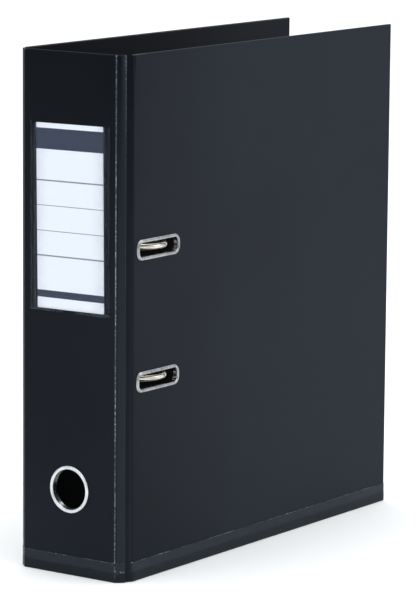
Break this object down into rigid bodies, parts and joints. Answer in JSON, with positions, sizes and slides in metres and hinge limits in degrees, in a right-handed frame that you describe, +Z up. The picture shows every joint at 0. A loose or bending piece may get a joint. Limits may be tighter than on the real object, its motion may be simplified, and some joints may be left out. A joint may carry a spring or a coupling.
{
  "type": "two-hole lever ring binder",
  "caption": "Upright foil-covered board binder with hinged covers, a finger ring, a spine label pocket, rimmed cover slots and a lever arch mechanism.",
  "frame": {"origin": "middle of the standing foot, under the centre of the closed case", "axes": "+X from the spine to the covers' fore edge, +Y from the front cover to the back cover, +Z up"},
  "size_m": [0.2908, 0.084, 0.318],
  "materials": {
    "cover_foil": "fine-grained satin foil",
    "spine_foil": "fine-grained satin foil",
    "foot_band": "smooth foil, slightly wrinkled",
    "board": "grey board",
    "lining": "matt lining paper",
    "slot_rim": "bright nickel plate",
    "finger_ring": "bright nickel plate",
    "pocket_film": "clear film",
    "label_card": "smooth card with printed bands",
    "wire": "bright nickel plate",
    "plated_sheet": "nickel-plated pressed sheet",
    "fasteners": "nickel plate",
    "spring_steel": "oiled spring wire",
    "roller": "moulded nylon",
    "compressor": "moulded plastic"
  },
  "bodies": {
    "back_cover": {"back_board": "board", "back_cover_foil": "cover_foil", "back_lining": "lining", "back_bottom_band": "foot_band", "base_plate": "plated_sheet", "base_rivets": "fasteners", "post_upper": "wire", "post_lower": "wire", "lever_pin": "fasteners", "arch_spring": "spring_steel"},
    "spine": {"spine_board": "board", "front_hinge_strip": "board", "back_hinge_strip": "board", "spine_foil": "spine_foil", "spine_lining": "lining", "spine_bottom_band": "foot_band", "finger_ring": "finger_ring", "finger_ring_washer": "finger_ring", "label_pocket": "pocket_film", "front_hinge_foil": "cover_foil", "back_hinge_foil": "cover_foil"},
    "front_cover": {"front_board": "board", "front_cover_foil": "cover_foil", "front_lining": "lining", "front_bottom_band": "foot_band", "slot_rim_upper": "slot_rim", "slot_rim_lower": "slot_rim"},
    "card": {"label_card": "label_card"},
    "arch": {"arch_wire": "wire"},
    "lever": {"lever": "plated_sheet", "roller_pin": "fasteners"},
    "roller": {"lever_roller": "roller"},
    "compressor": {"compressor_bar": "compressor"}
  },
  "joints": [
    {"name": "spine_hinge", "type": "hinge", "parent": "back_cover", "child": "spine", "pos_m": [-0.13809, 0.0392, 0.159], "axis": [0, 0, -1], "range_deg": [0, 90]},
    {"name": "cover_hinge", "type": "hinge", "parent": "spine", "child": "front_cover", "pos_m": [-0.13809, -0.0392, 0.159], "axis": [0, 0, -1], "range_deg": [0, 125]},
    {"name": "card_slide", "type": "slide", "parent": "spine", "child": "card", "axis": [0, 0, 1], "range_m": [0, 0.112]},
    {"name": "lever_lift", "type": "hinge", "parent": "back_cover", "child": "lever", "pos_m": [-0.11155, 0.0263, 0.149], "axis": [1, 0, 0], "range_deg": [0, 30]},
    {"name": "arch_swing", "type": "hinge", "parent": "back_cover", "child": "arch", "pos_m": [-0.12255, 0.0323, 0.161], "axis": [0, 0, -1], "range_deg": [0, 12]},
    {"name": "roller_spin", "type": "hinge", "parent": "lever", "child": "roller", "pos_m": [-0.11155, 0.0273, 0.1539], "axis": [1, 0, 0], "continuous": true},
    {"name": "compressor_slide", "type": "slide", "parent": "back_cover", "child": "compressor", "axis": [0, -1, 0], "range_m": [0, 0.04]}
  ],
  "couplings": [
    {"joint": "arch_swing", "follows": "lever_lift", "ratio": 0.4}
  ]
}
